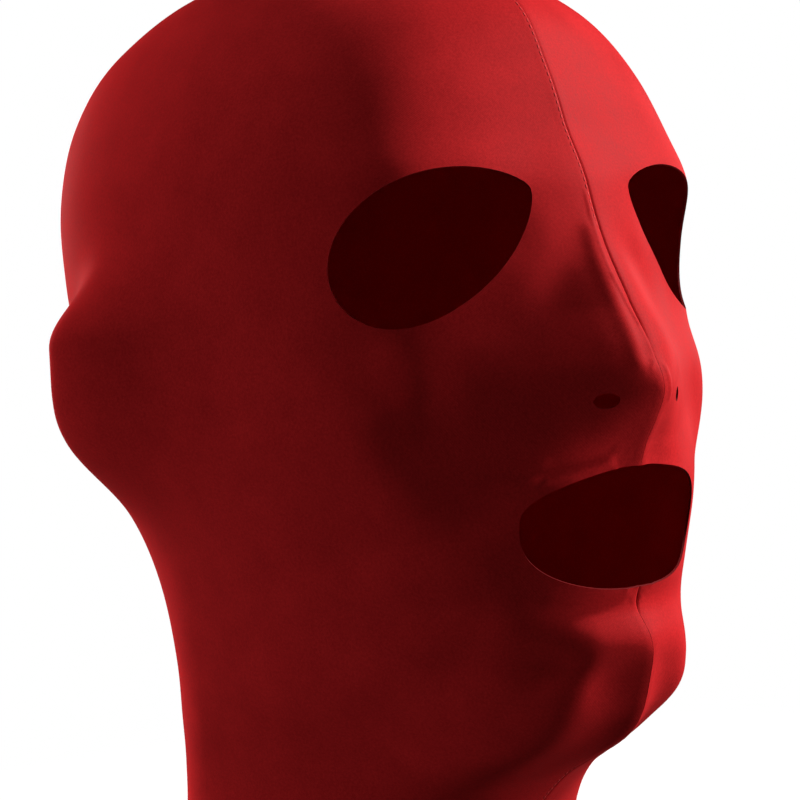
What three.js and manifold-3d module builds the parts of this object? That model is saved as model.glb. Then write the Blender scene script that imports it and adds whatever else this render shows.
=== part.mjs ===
// Latex hood: two mirrored panels of thin sheet, stretched to the shape of a head and neck and
// joined along one centre seam over the chin, lips, nose, forehead, crown and nape.
// Millimetres, +Z up. The face looks along -Y, the wearer's left is +X, and the origin is on the
// inner face of the crown, where the hood sits on the head.
import * as THREE from 'three';
import { mergeVertices } from 'three/addons/utils/BufferGeometryUtils.js';
import Module from 'manifold-3d';

// driving dimensions
const WALL = 1.2; // sheet thickness
const SEAM_GAP = 0.3; // clearance between the two panels
const COLUMNS = 32; // steps round one panel, from the front seam to the back seam
const FRONT_CROWDING = 1.4; // power that crowds the columns towards the face
const HOLE_SIDES = 40; // straight edges round a hole
const CUT_REACH = 34; // how far a hole's cutter runs to each side of the sheet
const SLOPE_STEP = 1e-3; // parameter step for the surface's slopes

// horizontal sections, z down from the crown's outer face, y towards the back
// front and back are the section's ends on the seam, wide is where it is widest, half is half its
// width, and roundF and roundB are the superellipse powers of the front and back
const SECTION_COLUMNS = ['z', 'front', 'wide', 'back', 'half', 'roundF', 'roundB'];
const SECTIONS = [
  [0, 0, 0, 0, 0, 2, 2], // crown
  [-8, -45.5, 0, 45.5, 42, 2, 2],
  [-22, -74, 0, 79, 59, 2.15, 2.45],
  [-42, -85.5, -3, 96, 72.5, 2.43, 2.4], // forehead
  [-66, -93, 0, 101, 81, 2.46, 2.2],
  [-90, -96, 0, 103, 80.5, 2.45, 2.2], // brow
  [-114, -98.5, 2, 98, 79.5, 2.38, 2.15], // eyes
  [-138, -101.5, 2, 86.5, 79, 2.65, 2.25], // cheeks
  [-160, -107.5, 1, 73, 72.5, 2.15, 2.25], // upper lip
  [-182, -107, 5, 63.5, 67, 2, 2.15], // lower lip
  [-204, -103.5, 10, 60.5, 63, 2, 2.05], // chin
  [-222, -98.5, 15.5, 64, 60, 1.5, 2.15], // under the chin
  [-238, -69.5, 21, 67, 56.5, 1.8, 2.05], // throat
  [-258, -51, 19, 72, 56.5, 2, 2.1], // neck
  [-282, -45, 21, 81, 62, 2, 2], // hem
];

// rows of the mesh: steps for each stretch of sections
const ROW_BANDS = [
  { from: 0, to: 4, steps: 10 },
  { from: 4, to: 11, steps: 23 },
  { from: 11, to: 14, steps: 6 },
];

// the sheet drawn over the bridge, tip and base of the nose
const NOSE_COLUMNS = ['z', 'height', 'half', 'power'];
const NOSE = [
  [-58, 0, 10, 2],
  [-74, 2.9, 14, 2.3],
  [-92, 7.1, 10.8, 2.2],
  [-108, 13.4, 14.1, 2.6],
  [-121, 19.1, 19.2, 2.4],
  [-130, 21.2, 18.7, 2.1], // tip
  [-138, 15.7, 19, 2.2],
  [-146, 6.6, 17.8, 1.95],
  [-153, 0, 15, 2], // base
];

// slope of the two panels back from the seam, which reaches a little way to each side of it
const GABLE_COLUMNS = ['z', 'slope', 'reach'];
const GABLE = [
  [0, 0, 32],
  [-14, 0.12, 32],
  [-36, 0.13, 32],
  [-70, 0.12, 32],
  [-88, 0.07, 26],
  [-98, 0, 20],
  [-190, 0, 20],
  [-204, 0.11, 20],
  [-226, 0.06, 22],
  [-250, 0.08, 22],
  [-282, 0.08, 22],
];

// soft swells and hollows of the face, mirrored on both panels: centre, reach each way and how far
// each one stands forward
const SWELLS = [
  { name: 'brow', x: 32, z: -72, reachX: 26, reachZ: 9, forward: 2.7 },
  { name: 'temple', x: 58.5, z: -80.5, reachX: 14.5, reachZ: 20.5, forward: 4.9 },
  { name: 'under the brow', x: 15.5, z: -88, reachX: 8.5, reachZ: 10, forward: 2.6 },
  { name: 'under the eye', x: 32.5, z: -105.5, reachX: 15, reachZ: 10.5, forward: -1.4 },
  { name: 'beside the nose', x: 20, z: -109, reachX: 12, reachZ: 16, forward: 3.1 },
  { name: 'nose wing', x: 23, z: -132, reachX: 7.5, reachZ: 9.5, forward: 0.9 },
  { name: 'cheekbone', x: 52, z: -124.5, reachX: 24, reachZ: 12, forward: 3.9 },
  { name: 'cheek hollow', x: 46, z: -137, reachX: 13, reachZ: 19.5, forward: -5.8 },
  { name: 'beside the upper lip', x: 17.5, z: -149.5, reachX: 9.5, reachZ: 9, forward: 1.1 },
  { name: 'lips', x: 0, z: -158.5, reachX: 22, reachZ: 14, forward: 5.7 },
  { name: 'mouth corner', x: 30, z: -171.5, reachX: 9.5, reachZ: 14, forward: -1.1 },
  { name: 'lip groove', x: 0, z: -187.5, reachX: 23, reachZ: 6.5, forward: -4.9 },
  { name: 'chin', x: 0, z: -200, reachX: 20.5, reachZ: 20, forward: 6.9 },
  { name: 'chin side', x: 19.5, z: -211.5, reachX: 8, reachZ: 15, forward: 5.6 },
  { name: 'jaw', x: 41, z: -207, reachX: 15, reachZ: 16, forward: -2.4 },
];

// swell of the sheet over the ear: it rises steeply at the top and back, and slopes away in front
// and below
const EAR = { y: 19.5, z: -109.5, front: 30, back: 16, up: 17, down: 39.5, out: 19.7, lean: 0.13 };
const EAR_POWER = { up: 2.1, down: 3.4 };

// where each hole's axis meets the sheet, the axis' turn outward from straight ahead and the long
// axis' rise towards the nose, both in degrees
const HOLES = [
  { name: 'eye', x: 44.6, y: -88, z: -88.3, turn: 30, rise: 22.4 },
  { name: 'mouth', x: 0, y: -112, z: -161.3, turn: 0, rise: 0 },
  { name: 'nostril', x: 13.3, y: -113.8, z: -132.5, turn: 35, rise: 0 },
];

// outline of each hole: half length, height over and under the long axis, superellipse powers of
// the upper and lower edges, pull of the inner end to a point, and droop of the two ends
const OUTLINES = {
  eye: { long: 28.6, up: 18.9, down: 18, powerUp: 2, powerDown: 2, point: 0.21, droop: 0 },
  mouth: { long: 31.8, up: 11, down: 20.3, powerUp: 1.74, powerDown: 2.29, point: 0, droop: 0.9 },
  nostril: { long: 3.5, up: 2, down: 2, powerUp: 2, powerDown: 2, point: 0, droop: 0 },
};

const SHEET_LOOK = { color: 0xa81c20, roughness: 0.5, metalness: 0.0 };

const rad = THREE.MathUtils.degToRad;

// value on a uniform Catmull-Rom curve through four numbers, t from the second to the third
function catmull(a, b, c, d, t) {
  const linear = (c - a) * t;
  const square = (2 * a - 5 * b + 4 * c - d) * t * t;
  const cubic = (3 * b - a - 3 * c + d) * t * t * t;
  return 0.5 * (2 * b + linear + square + cubic);
}

// the row before the crown mirrors the row after it, so that the crown is smooth
function sectionRow(index) {
  const last = SECTIONS.length - 1;
  if (index < 0) {
    const [z, front, wide, back, half, roundF, roundB] = SECTIONS[1];
    return [z, -front, wide, -back, -half, roundF, roundB];
  }
  if (index > last) return SECTIONS[last].map((v, k) => 2 * v - SECTIONS[last - 1][k]);
  return SECTIONS[index];
}

// section at parameter u, counted in table rows
function sectionAt(u) {
  const i = Math.min(Math.max(Math.floor(u), 0), SECTIONS.length - 2);
  const rows = [-1, 0, 1, 2].map((k) => sectionRow(i + k));
  const section = {};
  SECTION_COLUMNS.forEach((name, k) => {
    section[name] = catmull(rows[0][k], rows[1][k], rows[2][k], rows[3][k], u - i);
  });
  return section;
}

// nose section at height z, eased between the table's rows
function noseAt(z) {
  const last = NOSE.length - 1;
  if (z >= NOSE[0][0] || z <= NOSE[last][0]) return { height: 0, half: 1, power: 2 };
  const i = NOSE.findIndex((row, k) => z <= row[0] && z > NOSE[k + 1][0]);
  const t = (NOSE[i][0] - z) / (NOSE[i][0] - NOSE[i + 1][0]);
  const before = NOSE[Math.max(i - 1, 0)];
  const after = NOSE[Math.min(i + 2, last)];
  const nose = {};
  NOSE_COLUMNS.forEach((name, k) => {
    nose[name] = catmull(before[k], NOSE[i][k], NOSE[i + 1][k], after[k], t);
  });
  nose.height = Math.max(nose.height, 0);
  return nose;
}

// slope and reach of the panels' fall from the seam at height z, straight between the table's rows
function gableAt(z) {
  const last = GABLE.length - 2;
  const i = GABLE.findIndex((row, k) => k === last || z > GABLE[k + 1][0]);
  const share = Math.min(Math.max((GABLE[i][0] - z) / (GABLE[i][0] - GABLE[i + 1][0]), 0), 1);
  const gable = {};
  GABLE_COLUMNS.forEach((name, k) => {
    gable[name] = GABLE[i][k] + (GABLE[i + 1][k] - GABLE[i][k]) * share;
  });
  return gable;
}

// point of the outer face of the left panel: u runs down the sections, turn from 0 at the front
// seam to pi at the back seam
function outerPoint(u, turn) {
  const s = sectionAt(u);
  const ahead = Math.cos(turn);
  const aside = Math.sin(turn);
  const share = (1 + ahead) / 2;
  const power = s.roundF * share + s.roundB * (1 - share);
  const depth = Math.max(ahead > 0 ? s.wide - s.front : s.back - s.wide, 1e-6);
  const half = Math.max(s.half, 1e-6);
  const sum = (Math.abs(aside) / half) ** power + (Math.abs(ahead) / depth) ** power;
  const radius = sum ** (-1 / power);
  let x = radius * aside;
  let y = s.wide - radius * ahead;

  const facing = Math.sqrt(Math.max(ahead, 0));
  const nose = noseAt(s.z);
  y -= facing * nose.height * Math.exp(-((Math.abs(x) / nose.half) ** nose.power));
  const gable = gableAt(s.z);
  y += facing * gable.slope * Math.abs(x) * Math.exp(-((x / gable.reach) ** 2));
  for (const swell of SWELLS) {
    const sideways = (Math.abs(x) - swell.x) / swell.reachX;
    const upright = (s.z - swell.z) / swell.reachZ;
    y -= facing * swell.forward * Math.exp(-sideways * sideways - upright * upright);
  }

  const rise = s.z - EAR.z;
  const back = y - (EAR.y - EAR.lean * rise);
  const across = back / (back < 0 ? EAR.front : EAR.back);
  const along = Math.abs(rise) / (rise > 0 ? EAR.up : EAR.down);
  const fall = along ** (rise > 0 ? EAR_POWER.up : EAR_POWER.down);
  if (Math.abs(x) > 20) x += Math.sign(x) * EAR.out * Math.exp(-across * across - fall);
  return new THREE.Vector3(x, y, s.z);
}

// outward normal from the slopes along both parameters, level across the seam
function outerNormal(u, turn) {
  if (u === 0) return new THREE.Vector3(0, 0, 1);
  const down = outerPoint(u + SLOPE_STEP, turn).sub(outerPoint(u - SLOPE_STEP, turn));
  const round = outerPoint(u, turn + SLOPE_STEP).sub(outerPoint(u, turn - SLOPE_STEP));
  const normal = new THREE.Vector3().crossVectors(down, round);
  if (turn === 0 || turn === Math.PI) normal.x = 0;
  return normal.normalize();
}

// parameters of the mesh rows from the crown to the hem
function rowParameters() {
  const rows = [0];
  for (const band of ROW_BANDS) {
    for (let k = 1; k <= band.steps; k += 1) {
      rows.push(band.from + ((band.to - band.from) * k) / band.steps);
    }
  }
  return rows;
}

// closed shell of one panel: outer face, inner face, and strips along the two seams and the hem
function panelShell() {
  const rows = rowParameters();
  const hem = rows.length - 1;
  const positions = [];
  const index = [];
  const at = { outer: [], inner: [] };
  const put = (v) => positions.push(v.x, v.y, v.z) / 3 - 1;

  rows.forEach((u, r) => {
    at.outer.push([]);
    at.inner.push([]);
    const count = r === 0 ? 0 : COLUMNS;
    for (let c = 0; c <= count; c += 1) {
      const turn = c === COLUMNS ? Math.PI : Math.PI * (c / COLUMNS) ** FRONT_CROWDING;
      const outer = outerPoint(u, turn);
      if (r === 0 || c === 0 || c === COLUMNS) outer.x = 0;
      const inner = outer.clone().addScaledVector(outerNormal(u, turn), -WALL);
      if (r === hem) inner.z = outer.z;
      at.outer[r].push(put(outer));
      at.inner[r].push(put(inner));
    }
  });

  // quad a b c d, counter-clockwise from outside
  const quad = (a, b, c, d) => index.push(a, b, c, a, c, d);
  const pole = { outer: at.outer[0][0], inner: at.inner[0][0] };
  for (let c = 0; c < COLUMNS; c += 1) {
    index.push(pole.outer, at.outer[1][c], at.outer[1][c + 1]);
    index.push(pole.inner, at.inner[1][c + 1], at.inner[1][c]);
    quad(at.outer[hem][c], at.inner[hem][c], at.inner[hem][c + 1], at.outer[hem][c + 1]);
    for (let r = 1; r < hem; r += 1) {
      quad(at.outer[r][c], at.outer[r + 1][c], at.outer[r + 1][c + 1], at.outer[r][c + 1]);
      quad(at.inner[r][c], at.inner[r][c + 1], at.inner[r + 1][c + 1], at.inner[r + 1][c]);
    }
  }
  for (let r = 0; r < hem; r += 1) {
    const end = r === 0 ? 0 : COLUMNS;
    quad(at.outer[r][0], at.inner[r][0], at.inner[r + 1][0], at.outer[r + 1][0]);
    quad(at.outer[r + 1][COLUMNS], at.inner[r + 1][COLUMNS], at.inner[r][end], at.outer[r][end]);
  }

  const geometry = new THREE.BufferGeometry();
  geometry.setAttribute('position', new THREE.Float32BufferAttribute(positions, 3));
  geometry.setIndex(index);
  return geometry;
}

// outline of a hole, a superellipse with different upper and lower edges
function holeShape(hole) {
  const line = OUTLINES[hole.name];
  const rise = rad(hole.rise);
  const points = [];
  for (let k = 0; k < HOLE_SIDES; k += 1) {
    const c = Math.cos((2 * Math.PI * k) / HOLE_SIDES);
    const s = Math.sin((2 * Math.PI * k) / HOLE_SIDES);
    const power = 2 / (s > 0 ? line.powerUp : line.powerDown);
    const along = line.long * Math.sign(c) * Math.abs(c) ** power;
    const edge = (s > 0 ? line.up : line.down) * Math.sign(s) * Math.abs(s) ** power;
    const across = edge * (1 - 0.98 * c) ** line.point - line.droop * c * c;
    const aside = -(along * Math.cos(rise) - across * Math.sin(rise));
    const up = along * Math.sin(rise) + across * Math.cos(rise);
    points.push(new THREE.Vector2(aside, up));
  }
  return new THREE.Shape(points);
}

// cutter of a hole: its outline swept along the hole's axis
function holeCutter(hole) {
  const cutter = new THREE.ExtrudeGeometry(holeShape(hole), {
    depth: 2 * CUT_REACH,
    bevelEnabled: false,
    steps: 1,
  });
  cutter.translate(0, 0, -CUT_REACH);
  cutter.rotateX(Math.PI / 2);
  cutter.rotateZ(rad(hole.turn));
  cutter.translate(hole.x, hole.y, hole.z);
  return cutter;
}

const wasm = await Module();
wasm.setup();

// solid from a closed geometry, with its shared corners merged
function toSolid(geometry) {
  const bare = geometry.clone();
  bare.deleteAttribute('normal');
  bare.deleteAttribute('uv');
  const merged = mergeVertices(bare, 1e-4);
  return new wasm.Manifold(
    new wasm.Mesh({
      numProp: 3,
      vertProperties: new Float32Array(merged.attributes.position.array),
      triVerts: new Uint32Array(merged.index.array),
    }),
  );
}

function toGeometry(solid) {
  const mesh = solid.getMesh();
  const geometry = new THREE.BufferGeometry();
  geometry.setAttribute('position', new THREE.BufferAttribute(mesh.vertProperties, mesh.numProp));
  geometry.setIndex(new THREE.BufferAttribute(mesh.triVerts, 1));
  geometry.computeVertexNormals();
  return geometry;
}

// the left panel with its eye, mouth and nostril holes cut
function panelGeometry() {
  let panel = toSolid(panelShell());
  for (const hole of HOLES) panel = panel.subtract(toSolid(holeCutter(hole)));
  return toGeometry(panel);
}

const group = new THREE.Group();
const cut = panelGeometry();
for (const [name, side] of [['left_panel', 1], ['right_panel', -1]]) {
  const panel = new THREE.Mesh(cut, new THREE.MeshStandardMaterial(SHEET_LOOK));
  panel.name = name;
  panel.scale.x = side;
  panel.position.set((side * SEAM_GAP) / 2, 0, WALL);
  group.add(panel);
}

export default group;
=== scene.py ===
import bpy
import math
import numpy as np
from mathutils import Matrix, Vector


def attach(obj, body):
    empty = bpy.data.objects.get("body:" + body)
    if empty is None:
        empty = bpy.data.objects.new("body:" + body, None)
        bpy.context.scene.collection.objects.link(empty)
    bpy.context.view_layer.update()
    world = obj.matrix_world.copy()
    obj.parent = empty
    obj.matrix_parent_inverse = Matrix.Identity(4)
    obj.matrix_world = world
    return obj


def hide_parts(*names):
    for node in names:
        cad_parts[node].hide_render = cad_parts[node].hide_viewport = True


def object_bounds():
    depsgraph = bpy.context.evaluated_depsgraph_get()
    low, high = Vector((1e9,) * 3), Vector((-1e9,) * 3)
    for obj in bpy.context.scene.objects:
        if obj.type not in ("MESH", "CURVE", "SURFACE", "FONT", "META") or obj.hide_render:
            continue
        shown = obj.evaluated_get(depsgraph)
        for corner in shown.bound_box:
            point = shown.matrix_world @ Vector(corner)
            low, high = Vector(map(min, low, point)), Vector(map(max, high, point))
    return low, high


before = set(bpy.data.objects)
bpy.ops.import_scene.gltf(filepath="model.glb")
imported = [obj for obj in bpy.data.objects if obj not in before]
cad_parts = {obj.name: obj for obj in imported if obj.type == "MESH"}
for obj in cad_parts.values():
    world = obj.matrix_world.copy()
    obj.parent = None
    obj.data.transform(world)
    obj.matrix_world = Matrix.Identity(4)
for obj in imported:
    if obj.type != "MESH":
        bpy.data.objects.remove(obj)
cadBox = [list(corner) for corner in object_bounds()]
print("frame loaded, box", [[round(v, 4) for v in c] for c in cadBox])

mm = 0.001
least = 1e-6  # mm that count as nothing

# the stretched form: level sections in mm, z down from the crown's outer face, y to the back
hoodForm = {
    "sections": np.array([  # z, front, wide, back, half, roundFront, roundBack
        (0, 0, 0, 0, 0, 2, 2),  # crown
        (-8, -45.5, 0, 45.5, 42, 2, 2),
        (-22, -74, 0, 79, 59, 2.15, 2.45),
        (-42, -85.5, -3, 96, 72.5, 2.43, 2.4),  # forehead
        (-66, -93, 0, 101, 81, 2.46, 2.2),
        (-90, -96, 0, 103, 80.5, 2.45, 2.2),  # brow
        (-114, -98.5, 2, 98, 79.5, 2.38, 2.15),  # eyes
        (-138, -101.5, 2, 86.5, 79, 2.65, 2.25),  # cheeks
        (-160, -107.5, 1, 73, 72.5, 2.15, 2.25),  # upper lip
        (-182, -107, 5, 63.5, 67, 2, 2.15),  # lower lip
        (-204, -103.5, 10, 60.5, 63, 2, 2.05),  # chin
        (-222, -98.5, 15.5, 64, 60, 1.5, 2.15),  # under the chin
        (-238, -72, 21, 67, 56.5, 1.8, 2.05),  # throat
        (-258, -54, 19, 72, 56.5, 2, 2.1),  # neck
        (-282, -48, 21, 81, 62, 2, 2),  # hem
    ], float),
    "nose": np.array([  # z, height, half width, power
        (-58, 0, 10, 2),
        (-74, 2.9, 14, 2.3),
        (-92, 7.1, 10.8, 2.2),
        (-108, 13.4, 14.1, 2.6),
        (-121, 19.1, 19.2, 2.4),
        (-130, 21.2, 18.7, 2.1),  # tip
        (-138, 15.7, 19, 2.2),
        (-146, 6.6, 17.8, 1.95),
        (-153, 0, 15, 2),  # base
    ], float),
    "gable": np.array([  # z, slope of the two panels away from the seam, reach
        (0, 0, 32),
        (-14, 0.12, 32),
        (-36, 0.13, 32),
        (-70, 0.12, 32),
        (-88, 0.07, 26),
        (-98, 0, 20),
        (-190, 0, 20),
        (-204, 0.11, 20),
        (-226, 0.06, 22),
        (-250, 0.08, 22),
        (-282, 0.08, 22),
    ], float),
    "swells": [  # x, z, reach x, reach z, forward
        (32, -72, 26, 9, 2.7),  # brow
        (58.5, -80.5, 14.5, 20.5, 4.9),  # temple
        (15.5, -88, 8.5, 10, 2.6),  # under the brow
        (32.5, -105.5, 15, 10.5, -1.4),  # under the eye
        (20, -109, 12, 16, 3.1),  # beside the nose
        (23, -132, 7.5, 9.5, 0.9),  # nose wing
        (52, -124.5, 24, 12, 3.9),  # cheekbone
        (46, -137, 13, 19.5, -5.8),  # cheek hollow
        (17.5, -149.5, 9.5, 9, 1.1),  # beside the upper lip
        (0, -158.5, 22, 14, 5.7),  # lips
        (30, -171.5, 9.5, 14, -1.1),  # mouth corner
        (0, -187.5, 23, 6.5, -4.9),  # lip groove
        (0, -200, 20.5, 20, 6.9),  # chin
        (19.5, -211.5, 8, 15, 5.6),  # chin side
        (41, -207, 15, 16, -2.4),  # jaw
    ],
    "ear": {"y": 19.5, "z": -109.5, "front": 30, "back": 16, "up": 17, "down": 39.5, "out": 19.7,
            "lean": 0.13, "powerUp": 2.1, "powerDown": 3.4, "clear": 20},  # clear of the seam
    "wall": 1.2,  # the solid's wall, which lifts the outer face over the origin
    "sheet": 0.6,  # the sheet shown
    "seamGap": 0.1,
    "seamLap": 0.3,  # how far the inner edges slant under the right panel
    "lapReach": 2,
}

# mesh of one panel: rows from the crown to the hem, columns from the front seam to the back seam
panelMesh = {
    "bands": ((0, 4, 54), (4, 11, 132), (11, 14, 44)),  # from section, to section, rows
    "columns": 176,
    "crowding": 1.5,  # crowds the columns towards the face
    "pulls": 3,  # rounds in which points near a hole are drawn to its outline
    "pull": 0.36,  # furthest that a point moves in a round, in cells
    "snap": 0.02,  # mm from the outline that count as on it
    "sharp": 55,  # degrees between faces that show an edge
}

# holes: where the axis meets the sheet, its turn outward and the rise of the long axis in degrees, half
# sizes in mm, how the inner end comes to a point and how both ends droop
holeCuts = {
    "eye": {"x": 44.6, "y": -88, "z": -88.5, "turn": 30, "rise": 25.5, "long": 29.6, "up": 18.7,
            "down": 17.3, "powerUp": 2, "powerDown": 2.1, "point": 0.21, "droop": 0},
    "mouth": {"x": 0, "y": -112, "z": -161.3, "turn": 0, "rise": 0, "long": 31.8, "up": 11,
              "down": 21.1, "powerUp": 2.05, "powerDown": 2.4, "point": 0, "droop": 0.9},
    "nostril": {"x": 13.3, "y": -113.8, "z": -132.5, "turn": 35, "rise": 0, "long": 3.5, "up": 2,
                "down": 2, "powerUp": 2, "powerDown": 2, "point": 0, "droop": 0},
}

# seam relief in mm: the edges roll in to a groove, deeper or shallower down the face, beside a low ridge
# crease: how steeply the panels fall away from the seam close to it
seamRelief = {
    "groove": 0.2, "grooveWide": 0.3, "ridge": 0.04, "ridgeAt": 1.8, "ridgeWide": 0.9,
    "ripple": 0.03, "rippleWave": 4.1, "rippleReach": 3, "rippleDrift": 1.3, "driftRun": 7,
    "creaseReach": 9, "faceFrom": 5, "faceOver": 30,  # the face's relief comes in over this depth
    "face": np.array([  # z, depth, crease
        (0, 0.3, 0),
        (-30, 0.5, 0),
        (-50, 0.9, 0),
        (-66, 1.1, 0),
        (-90, 1.3, 0),
        (-112, 1.2, 0),
        (-118, 0.3, 0.05),
        (-132, 0.25, 0.2),
        (-148, 0.5, 0.3),
        (-153, 0.6, 0.15),
        (-180, 1.2, 0),
        (-187, 1.5, 0),
        (-190, 0.1, 0),
        (-196, 0.1, 0.05),
        (-203, 0.15, 0.28),
        (-220, 0.15, 0.28),
        (-232, 0.8, 0),
        (-282, 0.8, 0),
    ], float)[::-1],
}

# small folds in mm: ridges and hollows along straight runs on a panel, x out from the seam
# panel (-1 the wearer's right, 1 the left), x and z of the two ends, half width, height
smallFolds = [
    (-1, 3.6, -88, 5.6, -123, 2.3, 0.6),  # near edge of the nose
    (-1, 1.6, -78, 2.4, -100, 0.6, 0.2),  # fold beside the bridge of the nose
    (-1, 2.4, -100, 0.9, -113, 0.55, 0.3),
    (-1, 0.9, -114, 0.4, -121, 0.7, 0.1),
    (-1, 1.0, -123, 2.6, -124.5, 0.6, 0.22),  # crease over the tip
    (1, 2.2, -125, 3.4, -133, 1.0, 0.35),
    (-1, 27, -151.6, 10, -148.7, 1.2, 1.3),  # fold along the upper lip
    (-1, 8.8, -149.2, 8.0, -150.2, 0.8, 0.5),
    (-1, 24, -147.4, 10, -146.0, 1.3, -0.4),
    (-1, 7.2, -149.6, 5.0, -150.2, 0.7, -0.25),
    (-1, 4.6, -182.6, 1.0, -186.0, 0.7, 0.2),  # puckers under the mouth, drawn to the seam
    (1, 5.0, -182.2, 0.8, -185.6, 0.7, 0.2),
    (-1, 24, -182.6, 5, -184.4, 1.8, 0.4),  # soft roll under the lower edge
    (-1, 61, -116, 57, -136, 6.5, -1.3),  # broad dents of the cheek
    (-1, 62, -132, 43, -161, 12, -2.4),
    (-1, 74, -133, 58, -169, 7.7, -2.1),
    (-1, 40, -128, 34, -143, 8, -1.0),
    (-1, 36, -153, 17, -150, 7.7, -0.9),
    (-1, 38, -199, 26, -202, 6, -1.3),  # beside the chin and along the jaw
    (-1, 30, -188, 17, -195, 6, 1.0),
    (-1, 49, -191, 42, -229, 12.6, -1.2),
    (-1, 32, -211, 28, -226, 12, 2.4),
    (-1, 20, -202, 15, -208, 8, -2.6),
]


# Catmull-Rom curve through table rows: cubic between rows i and i+1 with slopes from their neighbours
def curveThrough(rows, u, first, last):
    wide = np.vstack([first, rows, last])
    i = np.clip(np.floor(u).astype(int), 0, len(rows) - 2)
    t = (u - i)[..., None]
    a, b, c, d = wide[i], wide[i + 1], wide[i + 2], wide[i + 3]
    square = 2 * a - 5 * b + 4 * c - d
    cube = 3 * b - a - 3 * c + d
    return 0.5 * (2 * b + (c - a) * t + square * t ** 2 + cube * t ** 3)


# section at u, counted in rows; the row before the crown mirrors the one after it
def sectionAt(u):
    rows = hoodForm["sections"]
    ghost = rows[1] * (1, -1, 1, -1, -1, 1, 1)
    return np.moveaxis(curveThrough(rows, u, ghost, 2 * rows[-1] - rows[-2]), -1, 0)


# height, half width and power of the nose at height z, zero outside its table
def noseAt(z):
    rows = hoodForm["nose"]
    u = np.interp(-z, -rows[:, 0], np.arange(len(rows)))
    _, height, half, power = np.moveaxis(curveThrough(rows, u, rows[0], rows[-1]), -1, 0)
    outside = (z >= rows[0, 0]) | (z <= rows[-1, 0])
    return np.where(outside, 0, np.maximum(height, 0)), half, power


# outer face of the left panel: superellipse of radius ((sin/half)^n + (cos/depth)^n)^(-1/n) round each
# section, pushed forward by the nose and the swells, back beside the seam by slope * x * exp(-(x/reach)^2),
# and outward over the ear
def formPoint(u, turn):
    z, front, wide, back, half, roundFront, roundBack = sectionAt(u)
    ahead, aside = np.cos(turn), np.sin(turn)
    share = (1 + ahead) / 2
    power = roundFront * share + roundBack * (1 - share)
    depth = np.maximum(np.where(ahead > 0, wide - front, back - wide), least)
    total = (np.abs(aside) / np.maximum(half, least)) ** power + (np.abs(ahead) / depth) ** power
    radius = total ** (-1 / power)
    x = radius * aside
    y = wide - radius * ahead
    facing = np.sqrt(np.maximum(ahead, 0))
    height, noseHalf, nosePower = noseAt(z)
    y = y - facing * height * np.exp(-(np.abs(x) / noseHalf) ** nosePower)
    gable = hoodForm["gable"][::-1]
    slope, reach = (np.interp(z, gable[:, 0], gable[:, k]) for k in (1, 2))
    y = y + facing * slope * np.abs(x) * np.exp(-(x / reach) ** 2)
    for swellX, swellZ, reachX, reachZ, forward in hoodForm["swells"]:
        spread = ((np.abs(x) - swellX) / reachX) ** 2 + ((z - swellZ) / reachZ) ** 2
        y = y - facing * forward * np.exp(-spread)
    ear = hoodForm["ear"]
    rise = z - ear["z"]
    behind = y - (ear["y"] - ear["lean"] * rise)
    across = behind / np.where(behind < 0, ear["front"], ear["back"])
    along = np.abs(rise) / np.where(rise > 0, ear["up"], ear["down"])
    fall = along ** np.where(rise > 0, ear["powerUp"], ear["powerDown"])
    bulge = np.sign(x) * ear["out"] * np.exp(-across ** 2 - fall)
    x = x + np.where(np.abs(x) > ear["clear"], bulge, 0)
    return np.stack([x, y, z], -1)


# distance in mm to a hole's outline in the plane across its axis, negative inside:
# (rho - 1) over the slope of rho, where rho is the superellipse radius
def holeDistance(points, hole):
    turn, rise = math.radians(hole["turn"]), math.radians(hole["rise"])
    aside = (points[..., 0] - hole["x"]) * math.cos(turn) + (points[..., 1] - hole["y"]) * math.sin(turn)
    up = points[..., 2] - hole["z"]
    along = -aside * math.cos(rise) + up * math.sin(rise)
    across = aside * math.sin(rise) + up * math.cos(rise)
    tip = 0.98  # stops short of the point, where the height would be nothing

    def rho(a, b):
        spread = np.abs(a) / hole["long"]
        over = b + hole["droop"] * spread ** 2 > 0
        power = np.where(over, hole["powerUp"], hole["powerDown"])
        c = np.sign(a) * np.minimum(spread, 1) ** (power / 2)
        tall = np.where(over, hole["up"], hole["down"]) * (1 - tip * c) ** hole["point"]
        rest = np.abs(b + hole["droop"] * c * c) / tall
        return (spread ** power + rest ** power + 1e-9) ** (1 / power)

    here = rho(along, across)
    step, flattest, noHole = 0.02, 0.01, 99
    slopeA = (rho(along + step, across) - rho(along - step, across)) / (2 * step)
    slopeB = (rho(along, across + step) - rho(along, across - step)) / (2 * step)
    distance = (here - 1) / np.maximum(np.hypot(slopeA, slopeB), flattest)
    return np.where(points[..., 1] < 0, distance, noHole)


def holesDistance(points):
    return np.min([holeDistance(points, hole) for hole in holeCuts.values()], axis=0)


# grid coordinates (row, column) to the form's parameters
bands = [np.linspace(a, b, n, endpoint=False) for a, b, n in panelMesh["bands"]]
rowU = np.concatenate(bands + [[panelMesh["bands"][-1][1]]])
rowCount, columnCount = len(rowU) - 1, panelMesh["columns"]


def gridPoint(row, column):
    u = np.interp(row, np.arange(rowCount + 1), rowU)
    turn = math.pi * (np.maximum(column, 0) / columnCount) ** panelMesh["crowding"]
    return formPoint(u, turn)


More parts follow.
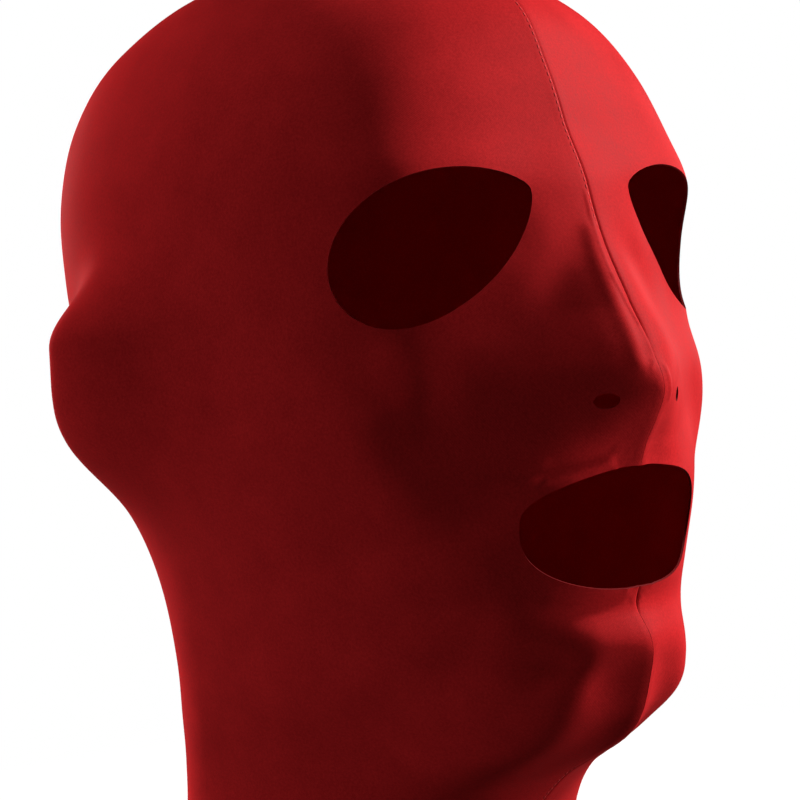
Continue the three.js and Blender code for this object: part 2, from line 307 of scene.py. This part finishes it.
# outward normal: cross product of the slopes down the rows and round the columns, straight up at the crown
def gridNormal(row, column):
    step, crown = 0.01, 0.02
    low = np.maximum(row - step, crown)
    high = np.minimum(np.maximum(row + step, 2 * crown), rowCount)
    left, right = np.maximum(column - step, 0), np.minimum(column + step, columnCount)
    safe = np.maximum(row, 1.5 * crown)
    down = gridPoint(high, column) - gridPoint(low, column)
    across = gridPoint(safe, right) - gridPoint(safe, left)
    normal = np.cross(down, across)
    level = (column <= 0) | (column >= columnCount)
    normal[..., 0] = np.where(level, 0, normal[..., 0])
    normal = normal / np.maximum(np.linalg.norm(normal, axis=-1, keepdims=True), 1e-12)
    return np.where((row < crown)[..., None], (0.0, 0.0, 1.0), normal)


# relief over the form in mm, from the distance x to the seam and the run along it: groove, ridge and ripple
# of the seam, its crease as slope * x * exp(-(x / reach)^2), and height * exp(-(away / wide)^2) for each
# fold, where away is the distance to the fold's run
def sheetRelief(points, run, side):
    x, z = np.abs(points[..., 0]), points[..., 2]
    seam = seamRelief
    front = np.clip((-points[..., 1] - seam["faceFrom"]) / seam["faceOver"], 0, 1)
    front = front * front * (3 - 2 * front)
    depth, crease = (np.interp(z, seam["face"][:, 0], seam["face"][:, k]) for k in (1, 2))
    depth = np.where(front > 0, depth, 1)
    relief = seam["ridge"] * np.exp(-((x - seam["ridgeAt"]) / seam["ridgeWide"]) ** 2)
    relief = relief - depth * seam["groove"] * np.exp(-(x / seam["grooveWide"]) ** 2)
    drift = seam["rippleDrift"] * np.sin(run / seam["driftRun"])
    wave = np.sin(2 * math.pi * run / seam["rippleWave"] + drift)
    relief = relief + seam["ripple"] * wave * np.exp(-x / seam["rippleReach"])
    relief = relief - front * crease * x * np.exp(-(x / seam["creaseReach"]) ** 2)
    for panel, x0, z0, x1, z1, wide, height in smallFolds:
        if panel == side:
            alongX, alongZ = x1 - x0, z1 - z0
            share = np.clip(((x - x0) * alongX + (z - z0) * alongZ) / (alongX ** 2 + alongZ ** 2), 0, 1)
            away = np.hypot(x - x0 - share * alongX, z - z0 - share * alongZ)
            relief = relief + front * height * np.exp(-(away / wide) ** 2)
    return relief


# triangles cut along distance = 0: whole ones stay, and crossed ones keep their part outside
def cutTriangles(triangles, distance, coords):
    outside = distance > -least
    count = outside[triangles].sum(1)
    whole = triangles[(count == 3) & (distance[triangles].max(1) > least)]
    one = triangles[count == 1]
    two = triangles[count == 2]
    turnOne = np.argmax(outside[one], axis=1)[:, None]
    one = np.take_along_axis(one, (turnOne + np.arange(3)) % 3, axis=1)  # corner 0 stays
    turnTwo = np.argmin(outside[two], axis=1)[:, None]
    two = np.take_along_axis(two, (turnTwo + np.arange(3)) % 3, axis=1)  # corner 0 goes
    crossings = np.concatenate([one[:, [0, 1]], one[:, [0, 2]], two[:, [1, 0]], two[:, [2, 0]]])
    ends = np.sort(crossings, axis=1)
    pairs, place = np.unique(ends, axis=0, return_inverse=True)
    place = place.reshape(-1)
    near, far = distance[pairs[:, 0]], distance[pairs[:, 1]]
    share = np.clip(near / (near - far), 0, 1)[:, None]
    added = coords[pairs[:, 0]] * (1 - share) + coords[pairs[:, 1]] * share
    made = len(coords) + np.arange(len(pairs))
    merge = 1e-4  # a cut this near a corner, as a share of the edge, uses the corner
    made = np.where(share[:, 0] > 1 - merge, pairs[:, 1], made)
    made = np.where(share[:, 0] < merge, pairs[:, 0], made)
    made = made[place]
    n1, n2 = len(one), len(two)
    oneB, oneC = made[:n1], made[n1:2 * n1]
    twoB, twoC = made[2 * n1:2 * n1 + n2], made[2 * n1 + n2:]
    parts = [whole, np.stack([one[:, 0], oneB, oneC], 1), np.stack([two[:, 1], two[:, 2], twoC], 1),
             np.stack([two[:, 1], twoC, twoB], 1)]
    triangles = np.concatenate(parts)
    empty = (triangles == np.roll(triangles, 1, axis=1)).any(1)
    return triangles[~empty], np.vstack([coords, added])


# one panel as grid coordinates and triangles: the grid is drawn to the hole outlines and cut along them
def panelGrid():
    rows, columns = np.meshgrid(np.arange(1, rowCount + 1), np.arange(columnCount + 1), indexing="ij")
    coords = np.vstack([[(0, columnCount / 2)], np.stack([rows.ravel(), columns.ravel()], 1)]).astype(float)
    number = 1 + np.arange(rowCount * (columnCount + 1)).reshape(rowCount, columnCount + 1)
    upper, lower = number[:-1], number[1:]
    a, b, c, d = (v.ravel() for v in (upper[:, :-1], lower[:, :-1], lower[:, 1:], upper[:, 1:]))
    fan = np.stack([np.zeros(columnCount, int), number[0, :-1], number[0, 1:]], 1)
    triangles = np.concatenate([fan, np.stack([a, b, c], 1), np.stack([a, c, d], 1)])

    def field(q):
        return holesDistance(gridPoint(q[:, 0], q[:, 1]))

    distance = field(coords)
    inner = (coords[:, 1] > 0) & (coords[:, 1] < columnCount) & (coords[:, 0] > 1)
    step = 0.02
    for _ in range(panelMesh["pulls"]):  # Newton steps towards the outline
        slopes = [field(coords + shift) - field(coords - shift) for shift in step * np.eye(2)]
        slope = np.stack(slopes, 1) / (2 * step)
        steep = (slope ** 2).sum(1)
        move = -distance[:, None] * slope / np.maximum(steep, 1e-9)[:, None]
        close = inner & (np.abs(move).max(1) < panelMesh["pull"])
        coords = np.where(close[:, None], coords + move, coords)
        distance = field(coords)
    distance = np.where(np.abs(distance) < panelMesh["snap"], 0, distance)
    triangles, coords = cutTriangles(triangles, distance, coords)
    used, place = np.unique(triangles, return_inverse=True)
    return coords[used], place.reshape(-1, 3)


gridCoords, gridTriangles = panelGrid()
formPoints = gridPoint(gridCoords[:, 0], gridCoords[:, 1])
formNormals = gridNormal(gridCoords[:, 0], gridCoords[:, 1])
print("panel grid", len(gridCoords), "points", len(gridTriangles), "triangles")


# run along the surface in mm, round each row and down the front seam, for the cloth's own map
def clothMap(coords):
    rows = np.maximum(np.arange(rowCount + 1.0), 0.001)  # keeps off the crown, where all columns meet
    frontLine = gridPoint(rows, np.zeros(rowCount + 1))
    frontRun = np.concatenate([[0], np.cumsum(np.linalg.norm(np.diff(frontLine, axis=0), axis=1))])
    allPoints = gridPoint(*np.meshgrid(rows, np.arange(columnCount + 1.0), indexing="ij"))
    roundRun = np.cumsum(np.linalg.norm(np.diff(allPoints, axis=1), axis=2), axis=1)
    roundRun = np.concatenate([np.zeros((rowCount + 1, 1)), roundRun], axis=1)
    i = np.clip(coords[:, 0].astype(int), 0, rowCount - 1)
    j = np.clip(coords[:, 1].astype(int), 0, columnCount - 1)
    p, q = coords[:, 0] - i, coords[:, 1] - j
    above = roundRun[i, j] * (1 - q) + roundRun[i, j + 1] * q
    below = roundRun[i + 1, j] * (1 - q) + roundRun[i + 1, j + 1] * q
    down = frontRun[i] * (1 - p) + frontRun[i + 1] * p
    return np.stack([above * (1 - p) + below * p, -down], 1)


panelMap = clothMap(gridCoords)


# shell of a panel: outer face with its relief, inner face one sheet below it, and a strip along every edge
def makePanel(name, side):
    n = len(formPoints)
    outer = formPoints + formNormals * sheetRelief(formPoints, -panelMap[:, 1], side)[:, None]
    inner = outer - formNormals * hoodForm["sheet"]
    points = np.concatenate([outer, inner])
    points[:, 2] += hoodForm["wall"]
    points[:, 0] = np.maximum(points[:, 0], 0) + hoodForm["seamGap"] / 2
    points = points * (side, 1, 1)
    # the seam edges slant together under the right panel, so no line of sight runs through
    points[n:, 0] -= hoodForm["seamLap"] * np.clip(1 - outer[:, 0] / hoodForm["lapReach"], 0, 1)
    points = points * mm
    skin = gridTriangles
    edges = np.concatenate([skin[:, [0, 1]], skin[:, [1, 2]], skin[:, [2, 0]]])
    ends = np.sort(edges, axis=1)
    _, first, uses = np.unique(ends, axis=0, return_index=True, return_counts=True)
    start, end = edges[first[uses == 1]].T  # an edge used once lies on a rim
    strip = np.concatenate([np.stack([end, start, start + n], 1), np.stack([end, start + n, end + n], 1)])
    faces = np.concatenate([skin, skin[:, ::-1] + n, strip])
    slots = np.repeat([0, 1, 2], [len(skin), len(skin), len(strip)])  # outside, inside, rim
    if side < 0:
        faces = faces[:, ::-1]
    mesh = bpy.data.meshes.new(name)
    mesh.vertices.add(len(points))
    mesh.vertices.foreach_set("co", points.ravel())
    mesh.loops.add(faces.size)
    mesh.loops.foreach_set("vertex_index", faces.ravel().astype(np.int32))
    mesh.polygons.add(len(faces))
    mesh.polygons.foreach_set("loop_start", np.arange(0, faces.size, 3, dtype=np.int32))
    mesh.polygons.foreach_set("material_index", slots.astype(np.int32))
    mesh.polygons.foreach_set("use_smooth", np.ones(len(faces), bool))
    mesh.update(calc_edges=True)
    cloth = np.concatenate([panelMap, panelMap]) * mm
    uv = mesh.uv_layers.new(name="cloth")
    uv.data.foreach_set("uv", cloth[faces.ravel()].astype(np.float32).ravel())
    mesh.set_sharp_from_angle(angle=math.radians(panelMesh["sharp"]))
    mesh.validate()
    piece = bpy.data.objects.new(name, mesh)
    bpy.context.collection.objects.link(piece)
    return piece


# node helpers
def newMaterial(name):
    material = bpy.data.materials.new(name)
    material.use_nodes = True
    nodes, links = material.node_tree.nodes, material.node_tree.links
    nodes.clear()
    out = nodes.new("ShaderNodeOutputMaterial")
    shader = nodes.new("ShaderNodeBsdfPrincipled")
    links.new(shader.outputs["BSDF"], out.inputs["Surface"])
    return material, nodes, links, shader


def mathNode(nodes, links, kind, a, b=None):
    node = nodes.new("ShaderNodeMath")
    node.operation = kind
    for k, value in enumerate((a, b)):
        if value is None:
            continue
        if isinstance(value, (int, float)):
            node.inputs[k].default_value = value
        else:
            links.new(value, node.inputs[k])
    return node.outputs[0]


# grain of the sheet: noise scales per metre, how far noise shifts the ribs, what each adds to the height
# and the mottle, and the span of the mottle that the colours and the roughness run over
grainLook = {"wobble": 260, "shift": 3, "ribShare": 0.25, "soft": 90, "softShare": 0.3, "fineShare": 0.7,
             "fineRough": 0.65, "colourSpan": (0.34, 0.66), "roughSpan": (0.35, 0.65)}


# stretched grain as a group: fine ribs along the cloth's map, broken by noise, and a soft mottle
def sheetGrainGroup():
    group = bpy.data.node_groups.new("sheetGrain", "ShaderNodeTree")
    for name, kind in (("Cloth", "Vector"), ("Place", "Vector"), ("Ribs", "Float"), ("Grain", "Float")):
        group.interface.new_socket(name=name, in_out="INPUT", socket_type="NodeSocket" + kind)
    for name in ("Height", "Mottle"):
        group.interface.new_socket(name=name, in_out="OUTPUT", socket_type="NodeSocketFloat")
    nodes, links = group.nodes, group.links
    enter, leave = nodes.new("NodeGroupInput"), nodes.new("NodeGroupOutput")
    split = nodes.new("ShaderNodeSeparateXYZ")
    links.new(enter.outputs["Cloth"], split.inputs[0])
    wobble = nodes.new("ShaderNodeTexNoise")
    wobble.inputs["Scale"].default_value = grainLook["wobble"]
    wobble.inputs["Detail"].default_value = 2
    links.new(enter.outputs["Place"], wobble.inputs["Vector"])
    shift = mathNode(nodes, links, "MULTIPLY", wobble.outputs["Fac"], grainLook["shift"])
    ribX = mathNode(nodes, links, "MULTIPLY", split.outputs["X"], enter.outputs["Ribs"])
    ribX = mathNode(nodes, links, "SINE", mathNode(nodes, links, "ADD", ribX, shift))
    ribY = mathNode(nodes, links, "MULTIPLY", split.outputs["Y"], enter.outputs["Ribs"])
    ribY = mathNode(nodes, links, "SINE", ribY)
    ribs = mathNode(nodes, links, "MULTIPLY", ribX, ribY)
    ribs = mathNode(nodes, links, "MULTIPLY", ribs, grainLook["ribShare"])
    fine = nodes.new("ShaderNodeTexNoise")
    fine.inputs["Detail"].default_value = 3
    fine.inputs["Roughness"].default_value = grainLook["fineRough"]
    links.new(enter.outputs["Place"], fine.inputs["Vector"])
    links.new(enter.outputs["Grain"], fine.inputs["Scale"])
    height = mathNode(nodes, links, "ADD", ribs, fine.outputs["Fac"])
    links.new(height, leave.inputs["Height"])
    soft = nodes.new("ShaderNodeTexNoise")
    soft.inputs["Scale"].default_value = grainLook["soft"]
    soft.inputs["Detail"].default_value = 4
    links.new(enter.outputs["Place"], soft.inputs["Vector"])
    softPart = mathNode(nodes, links, "MULTIPLY", soft.outputs["Fac"], grainLook["softShare"])
    finePart = mathNode(nodes, links, "MULTIPLY", fine.outputs["Fac"], grainLook["fineShare"])
    links.new(mathNode(nodes, links, "ADD", softPart, finePart), leave.inputs["Mottle"])
    return group


sheetGrain = sheetGrainGroup()

# ribs in radians a metre, grain as a noise scale, reach of the bump in metres
redOuter = {"name": "redSatinSheet", "dark": (0.40, 0.0125, 0.0145, 1), "light": (0.56, 0.019, 0.021, 1),
            "rough": (0.5, 0.62), "bump": 0.12, "reach": 0.0003, "specular": 0.02,
            "sheen": (0.03, (0.9, 0.02, 0.02, 1)), "ribs": 9000, "grain": 1500}
# inside face: the same sheet painted a lighter red than the outside, painted light that stands in for light
# reaching inside the hood
redInnerPaintedLight = {"name": "redSheetInsidePaintedLight", "dark": (0.56, 0.020, 0.023, 1), "light": (0.70, 0.030, 0.034, 1),
            "rough": (0.65, 0.8), "bump": 0.15, "reach": 0.0003, "specular": 0.1,
            "sheen": (0.0, (1, 1, 1, 1)), "ribs": 9000, "grain": 1500}
# cut edges: the same sheet painted far darker, a painted shadow along the rims of the holes and the seam
# edges
redRimPaintedShade = {"name": "redCutEdgePaintedShade", "dark": (0.13, 0.004, 0.005, 1), "light": (0.22, 0.008, 0.009, 1),
          "rough": (0.6, 0.75), "bump": 0.2, "reach": 0.0003, "specular": 0.1,
          "sheen": (0.0, (1, 1, 1, 1)), "ribs": 9000, "grain": 2600}


# satin red sheet: mottle between two reds, roughness from the same mottle and a fine bump
def makeSheetMaterial(look):
    material, nodes, links, shader = newMaterial(look["name"])
    place = nodes.new("ShaderNodeTexCoord")
    cloth = nodes.new("ShaderNodeUVMap")
    cloth.uv_map = "cloth"
    grain = nodes.new("ShaderNodeGroup")
    grain.node_tree = sheetGrain
    links.new(cloth.outputs["UV"], grain.inputs["Cloth"])
    links.new(place.outputs["Object"], grain.inputs["Place"])
    grain.inputs["Ribs"].default_value = look["ribs"]
    grain.inputs["Grain"].default_value = look["grain"]
    ramp = nodes.new("ShaderNodeValToRGB")
    darkEnd, lightEnd = ramp.color_ramp.elements
    darkEnd.position, lightEnd.position = grainLook["colourSpan"]
    darkEnd.color, lightEnd.color = look["dark"], look["light"]
    links.new(grain.outputs["Mottle"], ramp.inputs["Fac"])
    links.new(ramp.outputs["Color"], shader.inputs["Base Color"])
    rough = nodes.new("ShaderNodeMapRange")
    rough.inputs["From Min"].default_value, rough.inputs["From Max"].default_value = grainLook["roughSpan"]
    rough.inputs["To Min"].default_value, rough.inputs["To Max"].default_value = look["rough"]
    links.new(grain.outputs["Mottle"], rough.inputs["Value"])
    links.new(rough.outputs["Result"], shader.inputs["Roughness"])
    bump = nodes.new("ShaderNodeBump")
    bump.inputs["Strength"].default_value = look["bump"]
    bump.inputs["Distance"].default_value = look["reach"]
    links.new(grain.outputs["Height"], bump.inputs["Height"])
    links.new(bump.outputs["Normal"], shader.inputs["Normal"])
    shader.inputs["Specular IOR Level"].default_value = look["specular"]
    shader.inputs["Sheen Weight"].default_value, shader.inputs["Sheen Tint"].default_value = look["sheen"]
    return material


sheetMaterials = [makeSheetMaterial(look) for look in (redOuter, redInnerPaintedLight, redRimPaintedShade)]

# the thread's red is lighter than the sheet, partly its own colour and partly a painted highlight so the
# small stitches show as bright dashes
threadLook = {"name": "redThread", "dark": (0.68, 0.060, 0.060, 1), "light": (0.82, 0.100, 0.095, 1),
              "twist": 4200, "wander": 1.5, "rough": 0.55, "bump": 0.3, "reach": 0.00008, "specular": 0.02}


# twisted thread: fine slanting bands from a wave, broken by noise
def makeThreadMaterial(look):
    material, nodes, links, shader = newMaterial(look["name"])
    place = nodes.new("ShaderNodeTexCoord")
    wave = nodes.new("ShaderNodeTexWave")
    wave.bands_direction = "DIAGONAL"
    wave.inputs["Scale"].default_value = look["twist"]
    wave.inputs["Distortion"].default_value = look["wander"]
    links.new(place.outputs["Object"], wave.inputs["Vector"])
    ramp = nodes.new("ShaderNodeValToRGB")
    ramp.color_ramp.elements[0].color = look["dark"]
    ramp.color_ramp.elements[1].color = look["light"]
    links.new(wave.outputs["Fac"], ramp.inputs["Fac"])
    links.new(ramp.outputs["Color"], shader.inputs["Base Color"])
    bump = nodes.new("ShaderNodeBump")
    bump.inputs["Strength"].default_value = look["bump"]
    bump.inputs["Distance"].default_value = look["reach"]
    links.new(wave.outputs["Fac"], bump.inputs["Height"])
    links.new(bump.outputs["Normal"], shader.inputs["Normal"])
    shader.inputs["Roughness"].default_value = look["rough"]
    shader.inputs["Specular IOR Level"].default_value = look["specular"]
    return material


threadMaterial = makeThreadMaterial(threadLook)

# the two panels
for nodeName, side in (("left_panel", 1), ("right_panel", -1)):
    panel = makePanel("hood_" + nodeName, side)
    for material in sheetMaterials:
        panel.data.materials.append(material)
    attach(panel, "root")
    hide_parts(nodeName)
    print(panel.name, len(panel.data.polygons), "faces")

# stitches in mm: a row of thread beside the seam on the wearer's right panel, down the face and the back
stitchRow = {"away": 0.8, "pitch": 2.1, "long": 1.5, "wide": 0.22, "thick": 0.1, "lift": 0.05,
             "rings": 5, "sides": 6,
             "clear": 1.2,  # from the holes
             "first": 2, "spare": 1, "steps": 2600,  # the row's ends, and the steps that measure its path
             "rows": (  # in front or behind, from section, to section
                 (True, 0.3, 5.05),
                 (True, 11.7, 13.97),
                 (False, 0.3, 13.97),
             )}


# path beside the seam: the form at the turn whose chord is the row's distance
def stitchPath(front, start, end):
    u = np.linspace(start, end, stitchRow["steps"])
    _, foremost, wide, rearmost, _, _, _ = sectionAt(u)
    turn = stitchRow["away"] / (wide - foremost if front else rearmost - wide)
    turn = turn if front else math.pi - turn
    stepU, stepTurn = 0.004, 0.002
    here = formPoint(u, turn)
    down = formPoint(u + stepU, turn) - formPoint(u - stepU, turn)
    aside = formPoint(u, turn + stepTurn) - formPoint(u, turn - stepTurn)
    normal = np.cross(down, aside)
    run = np.concatenate([[0], np.cumsum(np.linalg.norm(np.diff(here, axis=0), axis=1))])
    places = np.arange(stitchRow["first"], run[-1] - stitchRow["spare"], stitchRow["pitch"])

    def atPlaces(v):
        return np.stack([np.interp(places, run, v[:, k]) for k in range(3)], 1)

    middle, along, out = atPlaces(here), atPlaces(down), atPlaces(normal)
    along = along / np.linalg.norm(along, axis=1, keepdims=True)
    out = out / np.linalg.norm(out, axis=1, keepdims=True)
    keep = holesDistance(middle) > stitchRow["clear"]
    return middle[keep], along[keep], out[keep]


# each stitch: rings of an ellipsoid round its own run, closed to a point at both ends
def makeStitches(name):
    parts = [stitchPath(*row) for row in stitchRow["rows"]]
    middle, along, out = (np.concatenate([p[k] for p in parts]) for k in range(3))
    rings, sides = stitchRow["rings"], stitchRow["sides"]
    slide = np.linspace(-1, 1, rings + 2)[1:-1]
    angle = np.arange(sides) * 2 * math.pi / sides
    ringU, ringA = np.meshgrid(slide, angle, indexing="ij")
    swell = np.sqrt(1 - ringU ** 2)
    local = np.stack([ringU * stitchRow["long"] / 2, swell * stitchRow["wide"] * np.cos(ringA),
                      swell * stitchRow["thick"] * np.sin(ringA)], -1).reshape(-1, 3)
    local = np.vstack([local, [(-stitchRow["long"] / 2, 0, 0), (stitchRow["long"] / 2, 0, 0)]])
    number = np.arange(rings * sides).reshape(rings, sides)
    a, b = number[:-1], number[1:]
    sideFaces = np.stack([a, np.roll(a, -1, 1), np.roll(b, -1, 1), b], -1).reshape(-1, 4)
    near, far = rings * sides, rings * sides + 1
    ends = np.concatenate([np.stack([np.full(sides, near), np.roll(number[0], -1), number[0]], 1),
                           np.stack([np.full(sides, far), number[-1], np.roll(number[-1], -1)], 1)])
    triangles = np.concatenate([sideFaces[:, [0, 1, 2]], sideFaces[:, [0, 2, 3]], ends])
    aside = np.cross(out, along)
    base = middle + out * stitchRow["lift"]
    points = base[:, None]
    for k, axis in enumerate((along, aside, out)):
        points = points + local[None, :, k:k + 1] * axis[:, None]
    count = len(local)
    faces = (triangles[None] + np.arange(len(middle))[:, None, None] * count).reshape(-1, 3)
    points = points.reshape(-1, 3)
    points[:, 2] += hoodForm["wall"]
    points = (points + (hoodForm["seamGap"] / 2, 0, 0)) * (-1, 1, 1) * mm
    mesh = bpy.data.meshes.new(name)
    mesh.from_pydata(points.tolist(), [], faces[:, ::-1].tolist())
    mesh.polygons.foreach_set("use_smooth", np.ones(len(faces), bool))
    piece = bpy.data.objects.new(name, mesh)
    bpy.context.collection.objects.link(piece)
    return piece


stitches = makeStitches("hood_seam_stitches")
stitches.data.materials.append(threadMaterial)
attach(stitches, "root")
print(stitches.name, len(stitches.data.polygons), "faces")


# unit vector to a camera or light at an azimuth and elevation in degrees
def towards(azimuth, elevation):
    a, e = math.radians(azimuth), math.radians(elevation)
    return np.array([math.sin(a) * math.cos(e), -math.cos(a) * math.cos(e), math.sin(e)])


# camera: the photograph's place in mm from the crown's outer face, and its focal length in pixels
cameraPlace = {"azimuth": -38.5, "elevation": 2.0, "roll": -4.0, "away": 650, "target": (9, -0.5, -132),
               "pixels": 2132, "pictureWide": 800, "sensor": 36, "clip": 0.01}


# camera axes: back points from the target to the camera, and the roll turns right and up about it
def makeCamera():
    c = cameraPlace
    a, r = math.radians(c["azimuth"]), math.radians(c["roll"])
    back = towards(c["azimuth"], c["elevation"])
    right = np.array([math.cos(a), math.sin(a), 0])
    up = np.cross(back, right)
    across = right * math.cos(r) + up * math.sin(r)
    above = up * math.cos(r) - right * math.sin(r)
    place = (np.array(c["target"]) + (0, 0, hoodForm["wall"]) + back * c["away"]) * mm
    data = bpy.data.cameras.new("camera")
    data.sensor_width = c["sensor"]
    data.lens = c["sensor"] * c["pixels"] / c["pictureWide"]
    data.clip_start = c["clip"]
    camera = bpy.data.objects.new("camera", data)
    bpy.context.collection.objects.link(camera)
    turn = np.eye(4)
    turn[:3] = np.stack([across, above, back, place], 1)
    camera.matrix_world = Matrix(turn.tolist())
    bpy.context.scene.camera = camera


makeCamera()

# lights round the hood's middle in metres: name, azimuth, elevation, width and height, watts, gloss or not
lightRig = {
    "middle": (0, 0, -0.12),
    "away": 1.3,
    "lights": (
        ("key", 61, 31, (0.1, 0.16), 19, True),
        ("front", 45, -4, (0.25, 0.18), 12, False),
        ("rim", -179, 9, (0.5, 0.5), 27, False),
        ("side", -120, -4, (0.4, 0.18), 5.8, False),
        ("top", 0, 85, (0.9, 0.9), 5.3, False),
        ("far", 104, 8, (0.3, 0.4), 1.3, True),
    ),
}


def makeLight(name, azimuth, elevation, size, watts, gloss):
    back = Vector(towards(azimuth, elevation).tolist())
    data = bpy.data.lights.new(name, "AREA")
    data.shape = "RECTANGLE"
    data.size, data.size_y = size
    data.energy = watts
    light = bpy.data.objects.new(name, data)
    bpy.context.collection.objects.link(light)
    light.location = Vector(lightRig["middle"]) + back * lightRig["away"]
    light.rotation_mode = "QUATERNION"
    light.rotation_quaternion = (-back).to_track_quat("-Z", "Y")
    light.visible_glossy = gloss


for row in lightRig["lights"]:
    makeLight(*row)

# white studio air: the camera sees white, and the hood gets a low even fill
airLook = {"colour": (1, 1, 1, 1), "seen": 1.0, "fill": 0.015}


def makeAir():
    world = bpy.data.worlds.new("studioAir")
    bpy.context.scene.world = world
    world.use_nodes = True
    nodes, links = world.node_tree.nodes, world.node_tree.links
    nodes.clear()
    out, mix = nodes.new("ShaderNodeOutputWorld"), nodes.new("ShaderNodeMixShader")
    path = nodes.new("ShaderNodeLightPath")
    links.new(path.outputs["Is Camera Ray"], mix.inputs[0])
    for k, use in ((1, "fill"), (2, "seen")):
        air = nodes.new("ShaderNodeBackground")
        air.inputs["Color"].default_value = airLook["colour"]
        air.inputs["Strength"].default_value = airLook[use]
        links.new(air.outputs[0], mix.inputs[k])
    links.new(mix.outputs[0], out.inputs[0])


makeAir()

# pale floor just under the hem, in metres, which runs out to white and throws little light up
floorLook = {"half": 1.6, "drop": 0.0006, "pale": (0.80, 0.80, 0.79, 1), "paler": (0.86, 0.86, 0.85, 1),
             "speck": 14, "rough": 0.7, "fadeFrom": 0.14, "fadeTo": 0.3, "bounce": (0.07, 0.07, 0.07, 1)}


def makeFloorMaterial(look):
    material, nodes, links, shader = newMaterial("paleFloor")
    place = nodes.new("ShaderNodeTexCoord")
    speck = nodes.new("ShaderNodeTexNoise")
    speck.inputs["Scale"].default_value = look["speck"]
    links.new(place.outputs["Object"], speck.inputs["Vector"])
    ramp = nodes.new("ShaderNodeValToRGB")
    ramp.color_ramp.elements[0].color = look["pale"]
    ramp.color_ramp.elements[1].color = look["paler"]
    links.new(speck.outputs["Fac"], ramp.inputs["Fac"])
    links.new(ramp.outputs["Color"], shader.inputs["Base Color"])
    shader.inputs["Roughness"].default_value = look["rough"]
    flat = nodes.new("ShaderNodeVectorMath")
    flat.operation = "MULTIPLY"
    flat.inputs[1].default_value = (1, 1, 0)
    links.new(place.outputs["Object"], flat.inputs[0])
    away = nodes.new("ShaderNodeVectorMath")
    away.operation = "LENGTH"
    links.new(flat.outputs[0], away.inputs[0])
    fade = nodes.new("ShaderNodeMapRange")
    fade.interpolation_type = "SMOOTHSTEP"
    fade.inputs["From Min"].default_value = look["fadeFrom"]
    fade.inputs["From Max"].default_value = look["fadeTo"]
    links.new(away.outputs["Value"], fade.inputs["Value"])
    white = nodes.new("ShaderNodeEmission")
    dim = nodes.new("ShaderNodeBsdfDiffuse")
    dim.inputs["Color"].default_value = look["bounce"]
    path = nodes.new("ShaderNodeLightPath")
    runOut, seen = nodes.new("ShaderNodeMixShader"), nodes.new("ShaderNodeMixShader")
    links.new(fade.outputs["Result"], runOut.inputs[0])
    links.new(shader.outputs["BSDF"], runOut.inputs[1])
    links.new(white.outputs[0], runOut.inputs[2])
    links.new(path.outputs["Is Camera Ray"], seen.inputs[0])
    links.new(dim.outputs[0], seen.inputs[1])
    links.new(runOut.outputs[0], seen.inputs[2])
    out = next(n for n in nodes if n.type == "OUTPUT_MATERIAL")
    links.new(seen.outputs[0], out.inputs["Surface"])
    return material


def makeFloor(look):
    low = min(c[2] for c in cadBox) - look["drop"]
    h = look["half"]
    mesh = bpy.data.meshes.new("floor")
    mesh.from_pydata([(-h, -h, low), (h, -h, low), (h, h, low), (-h, h, low)], [], [(0, 1, 2, 3)])
    mesh.materials.append(makeFloorMaterial(look))
    piece = bpy.data.objects.new("floor", mesh)
    bpy.context.collection.objects.link(piece)
    return piece


floor = makeFloor(floorLook)

bpy.context.scene.view_settings.view_transform = "Standard"
print("stage set")
